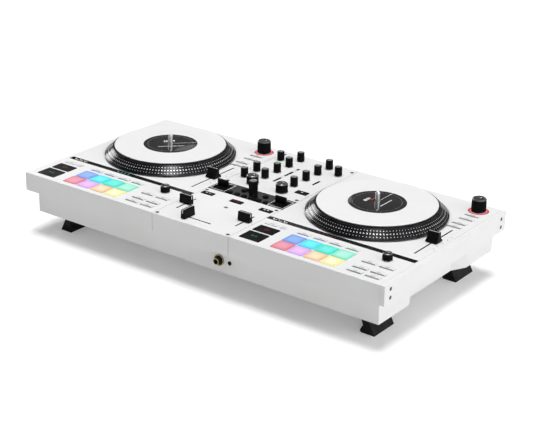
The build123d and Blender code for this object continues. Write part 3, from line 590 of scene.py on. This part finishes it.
# Label print: how far the print is turned, then bars as distance along and across the reading direction,
# length and height
label_prints = {
    "left": (45.0, [(23.0, 0.0, 37.0, 0.6), (-8.4, 11.8, 2.6, 5.6), (-5.0, 11.8, 2.2, 5.0), (-1.4, 11.8, 3.0, 5.6),
                    (2.6, 11.8, 2.2, 5.0), (6.4, 11.8, 2.6, 5.6), (0.0, -13.0, 42.0, 1.2)]),
    "right": (90.0, [(23.0, 0.0, 37.0, 0.6), (-7.0, 17.0, 2.4, 5.6), (-3.6, 17.0, 2.2, 4.6), (0.2, 17.0, 3.0, 5.6),
                     (4.2, 17.0, 2.2, 4.6), (3.0, -13.0, 31.0, 1.2)])}
for word, centre in discs.items():
    body = f"{word}_platter"
    dress(white_vinyl(centre), f"{word}_control_disc")
    section = [(label_hole, disc_top + 0.01), (label_radius, disc_top + 0.01), (label_radius, disc_top + 0.08),
               (label_radius - 0.2, label_top), (label_hole + 0.2, label_top), (label_hole, label_top - 0.04)]
    new_piece(f"{word}_disc_label", turned(section, centre, 96, ring=True), label_grey, body)
    spot = np.arange(label_dots) * 2 * np.pi / label_dots
    dots = np.column_stack([*around(centre, dot_radius, spot), np.full(label_dots, label_top + 0.04)])
    mark_piece(f"{word}_label_dots", marks(dots, (0.5, 1.0, 0.08), spot), grey_ink, body)
    turn_degrees, bars = label_prints[word]
    heading = math.radians(turn_degrees)
    bars = np.array(bars)
    x = centre[0] + bars[:, 0] * math.cos(heading) - bars[:, 1] * math.sin(heading)
    y = centre[1] + bars[:, 0] * math.sin(heading) + bars[:, 1] * math.cos(heading)
    places = np.column_stack([x, y, np.full(len(bars), label_top + 0.05)])
    sizes = np.column_stack([bars[:, 2], bars[:, 3], np.full(len(bars), 0.1)])
    mark_piece(f"{word}_label_print", marks(places, sizes, heading), white_ink, body)
    if word == "right":
        accent = marks((centre[0] - 11.0, centre[1] + 4.5, label_top + 0.05), (9.0, 2.0, 0.1), heading)
        mark_piece("right_label_accent", accent, red_ink, body)

# %% [markdown]
# ## Knobs
# A knob is a slightly tapered drum with fine ribs for grip, a bevelled rim and a flat or dished top. Its
# radius at each angle is the plain radius less a small ripple. The faces are numbered by ring, so the top can
# have another finish than the side.

# %% Knob shape
top_grey = finish("top_grey", (0.20, 0.20, 0.205), (0.16, 0.16, 0.165), 0.35, bump=0.05, patch_scale=200.0, dust=0.0)
top_dark = finish("top_dark", (0.03, 0.03, 0.031), (0.05, 0.05, 0.052), 0.25, bump=0.03, patch_scale=150.0, dust=0.0)
# The bevel band of the larger knobs is a lighter metallic grey than the black plastic: partly painted highlight,
# standing in for the glint along the rim.
rim_glint = finish("rim_glint", (0.16, 0.16, 0.165), (0.12, 0.12, 0.123), 0.25, metallic=0.6, bump=0.02,
                    patch_scale=150.0)


def knob_piece(node, rim, dish, ribs, glint_rim=False):
    """A ribbed drum inside the knob's own box. Each ring is a radius, a height and whether it is ribbed. Its
    radius is the plain radius times (1 - depth * ripple), and the ripple is the sine squared of half the rib
    count times the angle."""
    low, high = ends(node)
    centre = (low + high) / 2
    radius = (high[0] - low[0]) / 2
    crown = high[2]
    base = plate_top + 1.5
    top_radius = radius - 0.3
    angle = np.linspace(0, 2 * np.pi, ribs * 6, endpoint=False)
    ripple = np.sin(ribs * angle / 2) ** 2
    skirt = 0.9 if crown - base > 10 else 0.6
    rings = [(2.9, base - 1.2, 0), (2.9, base, 0), (radius - 0.3, base, 0), (radius, base + 0.3, 0)]
    rings += [(radius, base + skirt, 0), (radius - 0.15, base + skirt + 0.3, 1), (top_radius, crown - rim - 0.35, 1)]
    rings += [(top_radius, crown - rim, 0), (top_radius - rim * 0.75, crown - 0.12, 0), (top_radius - rim, crown, 0)]
    if dish > 0:
        rings += [(top_radius - rim - 0.8, crown, 0), (top_radius - rim - 1.7, crown - dish, 0)]
        rings.append((1.2, crown - dish, 0))
    else:
        rings += [(top_radius - rim - 0.5, crown - 0.06, 0), (1.2, crown - 0.06, 0)]
    rings = np.array(rings)
    rib_depth = 0.05
    wave = 1 - rib_depth * ripple[None, :] * rings[:, 2:3]
    reach = rings[:, 0:1] * wave
    x, y = around(centre, reach, angle)
    z = np.repeat(rings[:, 1:2], len(angle), axis=1)
    shape = skin(np.stack([x, y, z], axis=-1))
    band = np.repeat(np.arange(len(rings) - 1), len(angle))
    first_bevel_band, first_top_band = 7, 9
    quads = np.where(band >= first_top_band, 2, np.where(band >= first_bevel_band, 1, 0))
    fans = np.repeat([0, 2], len(angle))
    side_rim = rim_glint if glint_rim else cap_black
    top = top_dark if dish > 0 else top_grey
    piece = new_piece(node + "_cap", shape, [cap_black, side_rim, top], node,
                      face_finish=np.concatenate([quads, fans]), smooth_angle=35)
    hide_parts(node)
    needle_width = 0.9
    needle = marks((centre[0], centre[1] + top_radius * 0.55, crown - dish + 0.03),
                   (needle_width, top_radius * 0.5, 0.14))
    side_needle = marks((centre[0], centre[1] + radius - 0.28, crown - rim - 2.4), (needle_width, 0.9, 3.6))
    mark_piece(node + "_pointer", together([needle, side_needle]), white_ink, node)


small_knobs = [f"{word}_eq_knob_{row}" for word in ("left", "right") for row in (1, 2, 3, 4)]
small_knobs += ["master_level_knob", "booth_level_knob", "phones_level_knob", "phones_mix_knob"]
for node in small_knobs:
    knob_piece(node, 0.9, 0.0, 24)
knob_piece("browse_encoder", 1.0, 0.0, 26)
for word in ("left", "right"):
    knob_piece(f"{word}_filter_knob", 1.6, 0.8, 30, glint_rim=True)
    knob_piece(f"{word}_loop_encoder", 1.8, 1.4, 36, glint_rim=True)
    knob_piece(f"{word}_parameter_knob", 1.4, 0.7, 26, glint_rim=True)

# %% [markdown]
# ## Lit pads
# Each pad is clear silicone over a coloured lamp, so its middle is paler and its edge deeper in colour. The
# colour is stored on the points: the pad's own colour mixed with white towards the middle. Eight separate
# materials would do too, but one attribute keeps them together and easy to change.

# %% Pads
edge_colours = np.array([
    [[0.80, 0.17, 0.22], [0.70, 0.36, 0.90], [0.95, 0.48, 0.24], [0.98, 0.88, 0.22]],
    [[0.18, 0.30, 0.86], [0.02, 0.74, 0.88], [0.02, 0.76, 0.58], [0.16, 0.84, 0.50]]])
middle_colours = np.array([
    [[0.88, 0.39, 0.50], [0.91, 0.58, 0.96], [0.96, 0.86, 0.62], [1.00, 0.99, 0.74]],
    [[0.31, 0.53, 0.95], [0.18, 0.96, 0.97], [0.18, 0.96, 0.84], [0.51, 0.97, 0.84]]])
lit_silicone = finish("lit_silicone", (0.42, 0.42, 0.42), (0.36, 0.36, 0.36), 0.45, bump=0.06, patch_scale=90.0)
tree, shader, effect = parts_of(lit_silicone)
painted = node_at(tree, "Attribute", attribute_name="pad_colour")
tinted = node_at(tree, "Mix", {"Factor": 1.0}, data_type="RGBA", blend_type="MULTIPLY")
join(tree, (effect, "Colour", tinted, "A"), (painted, "Color", tinted, "B"), (tinted, "Result", shader, "Base Color"),
     (painted, "Color", shader, "Emission Color"))
set_values(shader, {"Emission Strength": 0.5})


def pad_shape(centre, size, low, high, edge, core):
    """A soft-edged tile, and its colours: edge times (1 - share) plus core times share, more core inwards."""
    levels = [(0.0, low), (0.0, high - 0.5), (0.15, high - 0.2), (0.5, high - 0.05), (1.2, high), (3.5, high),
              (6.5, high), (10.0, high)]
    shape = tile(centre, size, size, 2.0, levels)
    share = np.array([0.3, 0.3, 0.2, 0.1, 0.25, 0.6, 0.9, 1.0])
    share = np.append(np.repeat(share, 20), [0.0, 1.0])[:, None]
    colours = edge[None, :] * (1 - share) + core[None, :] * share
    return shape, np.column_stack([colours, np.ones(len(colours))])


for word in ("left", "right"):
    node = f"{word}_pads"
    low, high = ends(node)
    border, pitch = 2.0, 27.4
    size = high[0] - low[0] - 2 * border - 3 * pitch
    shapes, colours, dots = [], [], []
    for row in range(2):
        for column in range(4):
            x = low[0] + border + size / 2 + column * pitch
            y = low[1] + border + size / 2 + row * pitch
            shape, colour = pad_shape((x, y), size, plate_top - 2.0, high[2], edge_colours[row, column],
                                      middle_colours[row, column])
            shapes.append(shape)
            colours.append(colour)
            dots.append((x + 8.5, y - 8.5, high[2] + 0.02))
    lights = new_piece(f"{word}_pad_lights", together(shapes), lit_silicone, node,
                       colours=np.vstack(colours))
    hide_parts(node)
    mark_piece(f"{word}_pad_marks", marks(dots, (1.2, 1.2, 0.08)), grey_ink, node)

# %% [markdown]
# ## Lamps
# Small lamps show the state of each deck: a red ring at the loop encoder, green glow at one level knob, short
# bars on the black strips, and coloured front edges on the mode keys. A lamp is a thin slab that glows.

# %% Lamp finishes
# A lamp: name, colour, patch colour, glow and its strength
red_lamp, teal_lamp, green_lamp, blue_lamp, violet_lamp, teal_mark, red_mark, green_mark = (
    finish(name, colour, patch, 0.4, patch_scale=200.0, dust=0.0, glow=glow, glow_strength=strength)
    for name, colour, patch, glow, strength in (
        ("red_lamp", (0.8, 0.03, 0.04), (0.6, 0.02, 0.03), (1.0, 0.09, 0.12), 0.45),
        ("teal_lamp", (0.03, 0.5, 0.42), (0.02, 0.4, 0.35), (0.05, 0.75, 0.6), 0.3),
        ("green_lamp", (0.05, 0.7, 0.15), (0.04, 0.5, 0.1), (0.08, 0.9, 0.25), 0.35),
        ("blue_lamp", (0.02, 0.12, 0.36), (0.015, 0.09, 0.28), (0.05, 0.3, 0.9), 0.12),
        ("violet_lamp", (0.12, 0.08, 0.5), (0.09, 0.06, 0.4), (0.2, 0.15, 1.0), 0.2),
        ("teal_mark", (0.01, 0.12, 0.13), (0.008, 0.09, 0.10), (0.03, 0.7, 0.7), 0.06),
        ("red_mark", (0.16, 0.008, 0.010), (0.12, 0.006, 0.008), (1.0, 0.05, 0.07), 0.10),
        ("green_mark", (0.01, 0.14, 0.07), (0.008, 0.10, 0.05), (0.04, 0.9, 0.45), 0.12)))

# %% Rings, glows and strips
strip_top = plate_top + 0.03
for word in ("left", "right"):
    encoder = middle(f"{word}_loop_encoder")
    new_piece(f"{word}_loop_ring", arc(encoder, 13.4, 2.2, plate_top - 0.3, plate_top + 0.2), red_lamp, "chassis")
level = middle("master_level_knob")
new_piece("level_glow", arc(level, 7.0, 0.9, plate_top - 0.1, plate_top + 0.08, 48), green_lamp, "chassis")

strip_y = -72.5
# Each strip: its left edge, how far along it the lamps begin, and their colour
for word, left_edge, first, lamp in (("left", -319.9, 100.0, teal_lamp), ("right", 70.7, 90.0, red_mark)):
    icons = [(left_edge + 10 + 4.6 * index, strip_y + 0.5 * (-1) ** index, strip_top) for index in range(6)]
    sizes = [(2.2, 2.4, 0.1), (3.2, 1.2, 0.1)] * 3
    bars = [(left_edge + 13 + 9.2 * index, strip_y - 2.6, strip_top) for index in range(3)]
    mark_piece(f"{word}_strip_icons", together([marks(icons, sizes), marks(bars, (5.0, 0.5, 0.1))]), white_ink)
    lamps = [(left_edge + first + 7.0 * index, strip_y, strip_top) for index in range(4)]
    mark_piece(f"{word}_strip_lamps", marks(lamps, (3.2, 1.0, 0.1)), lamp)

# %% [markdown]
# ## Meters
# The level meter is a narrow black window with lit and unlit segments. The lit ones are pale, so the window
# looks like a few dark dashes. Slabs of pale light laid in the window give that.

# %% Meter segments
pale_lamp = finish("pale_lamp", (0.75, 0.76, 0.76), (0.66, 0.67, 0.67), 0.35, patch_scale=200.0, dust=0.0,
                   glow=(1.0, 1.0, 1.0), glow_strength=0.18)
meter = [(-8.5, y, strip_top) for y in (67.6, 70.8, 74.0, 98.6, 101.8, 105.0)]
signal = [(47.0, y, strip_top) for y in (69.6, 92.4)]
mark_piece("meter_segments", together([marks(meter, (3.2, 2.7, 0.1)), marks(signal, (3.0, 3.2, 0.1))]), pale_lamp)

# %% [markdown]
# ## Marks on keys and caps
# Symbols are plain shapes: a triangle with two bars for play and pause, a ring for the cue point, short bars
# on the small keys. Slider caps carry a white line across the crown that shows where they stand.

# %% Key symbols


def triangle_mark(centre, size, height):
    """A thin prism with three corners that points along +X."""
    angle = np.array([0, 2, 4]) * np.pi / 3
    ring = np.column_stack(around(centre, size, angle))
    return skin([np.column_stack([ring, np.full(3, z)]) for z in (centre[2], centre[2] + height)])


# Small keys as places from the middle of the deck: two columns beside the pads, one behind the tempo slider
side_keys = [(x, y) for x in (74.8, 103.0) for y in (-149.5, -135.5, -114.5)]
side_keys += [(101.6, y) for y in (117.5, 100.7, 80.5, 66.0)]
left_keys, mode_keys = (-104.6, -85.0), [-48.85 + 27.4 * index for index in range(4)]
for word, deck in deck_middles.items():
    play, cue, keys = (f"{word}_{name}" for name in ("play_key", "cue_key", "deck_keys"))
    x, y, _ = middle(play)
    z = top_of(play)
    pause = marks([(x + 1.6, y, z + 0.05), (x + 4.0, y, z + 0.05)], (0.9, 4.0, 0.1))
    mark_piece(f"{word}_play_symbol", together([triangle_mark((x - 3.0, y, z), 2.4, 0.1), pause]), green_mark, play)
    x, y, _ = middle(cue)
    z = top_of(cue)
    dash = marks((x + 5.0, y, z + 0.05), (3.0, 0.9, 0.1))
    mark_piece(f"{word}_cue_symbol", together([arc((x, y), 2.4, 0.7, z, z + 0.1, 32), dash]), red_mark, cue)

    mark_z = top_of(keys) + 0.03
    for index, lamp in enumerate((violet_lamp, blue_lamp, teal_mark, green_mark)):
        mark_piece(f"{word}_mode_lamp_{index + 1}", marks((deck + mode_keys[index], -94.3, mark_z), (17.0, 1.5, 0.1)),
                   lamp, keys)
    words = [(deck + x, y + 1.0, mark_z) for x, y in side_keys] + [(deck + x, -91.0, mark_z) for x in left_keys]
    words += [(deck + x, -90.6, mark_z) for x in mode_keys]
    # The dark bars at the front of the side keys are painted shadow in the gaps in front of them.
    edges = [(deck + x, y - 2.7, mark_z) for x, y in side_keys]
    mark_piece(f"{word}_key_marks", marks(words, (7.0, 1.3, 0.1)), grey_ink, keys)
    mark_piece(f"{word}_key_edge_shadows", marks(edges, (21.0, 1.4, 0.1)), dark_ink_and_shade, keys)

mark_z = top_of("mixer_keys") + 0.03
symbols = [(x, -55.4, mark_z) for x in (-57, -51, 51, 57)] + [(54.2, 34, mark_z)]
mark_piece("mixer_key_marks", marks(symbols, (3.6, 1.4, 0.1)), white_ink, "mixer_keys")
mark_piece("mixer_key_red", marks([(x, -56.0, mark_z) for x in (-4.5, 0, 4.5)], (2.6, 1.4, 0.1)), red_mark,
           "mixer_keys")

# %% Cap lines
for node, along_x in (("left_line_fader", True), ("right_line_fader", True), ("left_tempo_fader", True),
                      ("right_tempo_fader", True), ("crossfader", False)):
    low, high = ends(node)
    x, y, z = (low[0] + high[0]) / 2, (low[1] + high[1]) / 2, high[2]
    width = (high[0] - low[0] if along_x else high[1] - low[1]) - 1.2
    size = (width, 0.9, 0.1) if along_x else (0.9, width, 0.1)
    parts = [marks((x, y, z + 0.02), size)]
    for end in (-1, 1):
        reach = end * (width / 2 + 0.12)
        spot = (x + reach, y, z - 4.6) if along_x else (x, y + reach, z - 4.6)
        parts.append(marks(spot, (0.5, 0.9, 8.2) if along_x else (0.9, 0.5, 8.2)))
    mark_piece(f"{node}_line", together(parts), white_ink, node)

# %% [markdown]
# ## Printed scales
# Thin grey lines are printed beside the sliders and knobs. They are generic scale ticks and short dashes in
# the places where the real one has words.

# %% Scales and dashes
ink_z = plate_top + 0.02
talk = [marks((1.0, -83.0, ink_z), (6.5, 3.2, 0.06)), marks((1.0, -80.0, ink_z), (6.5, 0.8, 0.06))]
mark_piece("talk_mark", together(talk), dark_ink_and_shade)
ticks = []
for side in (-1, 1):
    ticks.append(marks([(side * 54.2 + end * 8.5, -106.5 + step, ink_z) for end in (-1, 1)
                        for step in np.linspace(-20, 20, 9)], (3.4, 0.45, 0.06)))
ticks.append(marks([(step, -144.7 + end * 9.0, ink_z) for end in (-1, 1) for step in np.linspace(-20, 20, 9)],
                   (0.45, 3.2, 0.06)))
for word, deck in deck_middles.items():
    tempo = middle(f"{word}_tempo_fader")
    spots = [(tempo[0] + end * 9.0, tempo[1] + step, ink_z) for end in (-1, 1) for step in np.linspace(-48, 48, 17)]
    ticks.append(marks(spots, (3.0, 0.4, 0.06)))
    words = [(deck + x, y, ink_z) for x in (74.8, 103.0) for y in (-142.5, -128.5, -107.5)]
    words += [(deck + 101.6, y, ink_z) for y in (110.7, 93.9, 73.7)]
    words += [(deck - 104.6, -84.5, ink_z), (deck + 88.7, -80.5, ink_z)]
    ticks.append(marks(words, (10.0, 0.7, 0.06)))
    tempo_side = deck + 118.5
    beside = [(tempo_side, y, ink_z) for y in (-20.5, -10.0, 4.2, 29.4)]
    mark_piece(f"{word}_tempo_marks", marks(beside, (1.8, 1.8, 0.06)), grey_ink)
    mark_piece(f"{word}_tempo_lamp", marks((tempo_side, 17.8, ink_z), (2.0, 2.0, 0.08)), red_ink)
for node in small_knobs + ["left_filter_knob", "right_filter_knob"]:
    centre, radius = middle(node), extent(node)[0] / 2 + 2.2
    turn = np.radians(np.linspace(-50, 230, 9))
    spots = np.column_stack([*around(centre, radius, turn), np.full(len(turn), ink_z)])
    ticks.append(marks(spots, (1.3, 0.4, 0.06), turn))
mark_piece("printed_scales", together(ticks), pale_ink)

# %% [markdown]
# ## Corners of the tub
# The tub's upright corners are nearly sharp on the outside and well rounded on the inside. The solid has one
# wide round, so a thin post squares each corner up. It keeps the mould's own wall behind it untouched.

# %% Corner posts


def corner_post(x, y, round_radius, low, high, edge=0.8):
    """A post between a wide round and a small one. Its outer path is a quarter turn of radius edge at the corner,
    its inner path a quarter turn of the round's radius, and both end on the two walls. The caps are fans from the
    middle of the outer path, which sees the whole outline."""
    sign = np.sign([x, y])
    angle = np.linspace(0, np.pi / 2, 7)
    turn = np.column_stack([np.cos(angle), np.sin(angle)])
    corner = np.abs([x, y])
    outer = corner - edge + edge * turn
    inner = corner - round_radius + (round_radius - 0.1) * turn[::-1]
    ring = np.vstack([corner - (0, round_radius), outer, corner - (round_radius, 0), inner]) * sign
    hub = 4  # the middle of the outer path
    if sign.prod() < 0:
        ring, hub = ring[::-1], len(ring) - 5
    rings = [np.column_stack([ring, np.full(len(ring), height)]) for height in (low, high)]
    points, quads, _ = skin(rings, low_cap=False, high_cap=False)
    start = np.arange(len(ring))
    start = start[(start != hub) & ((start + 1) % len(ring) != hub)]
    after = (start + 1) % len(ring)
    middle_point = np.full(len(start), hub)
    caps = np.vstack([np.column_stack([middle_point, after, start]),
                      np.column_stack([middle_point, start, after]) + len(ring)])
    return points, quads, caps


tub_low, tub_high, tub_round = 34.5, 70.0, 6.0
tub_half_width, tub_front, tub_back = 314.0, -153.0, 157.0
posts = [corner_post(side * tub_half_width, y, tub_round, tub_low, tub_high)
         for side in (-1, 1) for y in (tub_front, tub_back)]
new_piece("tub_corner_posts", together(posts), white_moulding, "chassis", smooth_angle=30)

# %% Outlines on the effects panel
# Each outline is four thin bars around an opening: two long ones along X and two short ones along Y.
panel_y = middle("effects_panel")[1]
outline_z = plate_top + 0.02
bars = []
for node in ("left_effects_paddle", "right_effects_paddle"):
    x = middle(node)[0]
    for end in (-1, 1):
        bars.append(marks((x, panel_y + end * 14.5, outline_z), (28.0, 0.8, 0.06)))
        bars.append(marks((x + end * 13.6, panel_y, outline_z), (0.8, 28.2, 0.06)))
mark_piece("effects_outlines", together(bars), white_ink)

# %% Seam shadows
# The two seams between the sheets read as fine dark lines on the front wall: a slab inside each gap.
front = ends("mixer_plate")[0][1]
shadows = []
for side, neighbour in ((-1, "left_deck_plate"), (1, "right_deck_plate")):
    inner = abs(ends("mixer_plate")[0][0])
    outer = abs(ends(neighbour)[1 if side < 0 else 0][0])
    low_z, high_z = ends(neighbour)[0][2] + 0.4, plate_top - 0.5
    shadows.append(marks((side * (inner + outer) / 2, front + 0.45, (low_z + high_z) / 2),
                         (outer - inner, 0.5, high_z - low_z)))
mark_piece("seam_shadows", together(shadows), dark_ink_and_shade)

# %% [markdown]
# ## Screw recesses
# Each panel screw has a six-sided socket. A dark six-sided disc on the head is painted shade in the socket and reads
# as the recess at this size.

# %% Recesses
recess_shade = finish("recess_shade", (0.004, 0.004, 0.004), (0.01, 0.01, 0.01), 0.6, patch_scale=500.0, dust=0.0)
screw_places = [(x, y) for x in (-64.8, 64.8) for y in (-159.0, -45.3, 5.4, 152.8)]
recesses = [turned([(1.3, plate_top - 0.02), (1.3, plate_top + 0.03)], place, 6) for place in screw_places]
mark_piece("screw_recesses", together(recesses), recess_shade)

# %% [markdown]
# ## Floor, light and camera
# The floor is a large pale sheet. A broad light overhead keeps the shadow under the body, a low one from the
# right brightens the side, and a white sky fills the rest. Two softboxes show only in glossy parts.

# %% Floor
floor_white = finish("floor_white", (0.80, 0.80, 0.80), (0.795, 0.795, 0.795), 0.9, bump=0.0, dust=0.0,
                     patch_scale=1.0)
# A faint glow that only the camera sees keeps the shadows on the sheet light.
tree, shader, effect = parts_of(floor_white)
seen = node_at(tree, "LightPath")
glow = node_at(tree, "Math", {1: 0.24}, operation="MULTIPLY")
join(tree, (seen, "Is Camera Ray", glow, 0), (glow, "Value", shader, "Emission Strength"))
set_values(shader, {"Emission Color": (1, 1, 1, 1)})
reach, drop = 9.0, -0.0002
floor_mesh = bpy.data.meshes.new("floor")
floor_mesh.from_pydata([(x * reach, y * reach, drop) for x, y in ((-1, -1), (1, -1), (1, 1), (-1, 1))], [],
                       [(0, 1, 2, 3)])
floor_mesh.materials.append(floor_white)
floor = bpy.data.objects.new("floor", floor_mesh)
bpy.context.scene.collection.objects.link(floor)

# %% Light
# The sky lights the object from the right, growing smoothly with the direction's X. A view that looks past the
# floor sees it as plain white.
scene = bpy.context.scene
scene.view_settings.view_transform = "Standard"
world = bpy.data.worlds.new("white_sky")
world.use_nodes = True
tree = world.node_tree
direction = node_at(tree, "TexCoord")
parts = node_at(tree, "SeparateXYZ")
ramp = node_at(tree, "MapRange", {"From Min": -0.3, "From Max": 1.0, "To Min": 0.11, "To Max": 0.55},
               interpolation_type="SMOOTHSTEP")
seen = node_at(tree, "LightPath")
brighter = node_at(tree, "Math", operation="MAXIMUM")
sky = tree.nodes["Background"]
join(tree, (direction, "Generated", parts, "Vector"), (parts, "X", ramp, "Value"), (ramp, "Result", brighter, 0),
     (seen, "Is Camera Ray", brighter, 1), (brighter, "Value", sky, "Strength"))
set_values(sky, {"Color": (1, 1, 1, 1)})
scene.world = world


def add_light(name, kind, energy, place, target, **settings):
    """A light at a place. Its beam, which is its own -Z, points towards the target."""
    data = bpy.data.lights.new(name, kind)
    data.energy = energy
    for key, value in settings.items():
        setattr(data, key, value)
    light = bpy.data.objects.new(name, data)
    light.location = place
    light.rotation_euler = (Vector(target) - light.location).to_track_quat("-Z", "Y").to_euler()
    scene.collection.objects.link(light)
    return light


add_light("overhead", "SUN", 3.05, (0.0, 0.06, 3.0), (0, 0, 0), angle=math.radians(26))
add_light("side", "SUN", 1.3, (3.0, 0.2, 0.75), (0, 0, 0), angle=math.radians(50))
softboxes = (add_light("back_box", "AREA", 0.08, (-0.70, 0.90, 0.57), (0, 0, 0.1), shape="RECTANGLE", size=0.34,
                       size_y=0.14),
             add_light("left_box", "AREA", 20.0, (-2.52, 0.89, 0.90), (0, 0, 0.1), shape="RECTANGLE", size=1.3,
                       size_y=0.9))
for softbox in softboxes:
    softbox.visible_diffuse = False
    softbox.visible_camera = False

# %% Camera
# The camera stands to the front right, about two metres away, with a long lens.
camera_data = bpy.data.cameras.new("camera")
camera_data.sensor_fit = "HORIZONTAL"
camera_data.sensor_width = 36.0
camera_data.lens = 91.946
camera = bpy.data.objects.new("camera", camera_data)
right = Vector((0.8037918, 0.5946049, 0.0190714))
up = Vector((-0.2434260, 0.2994762, 0.9225279))
turn = Matrix((right, up, right.cross(up))).transposed().to_4x4()
camera.matrix_world = Matrix.Translation((1.188206, -1.586221, 0.883657)) @ turn
scene.collection.objects.link(camera)
scene.camera = camera
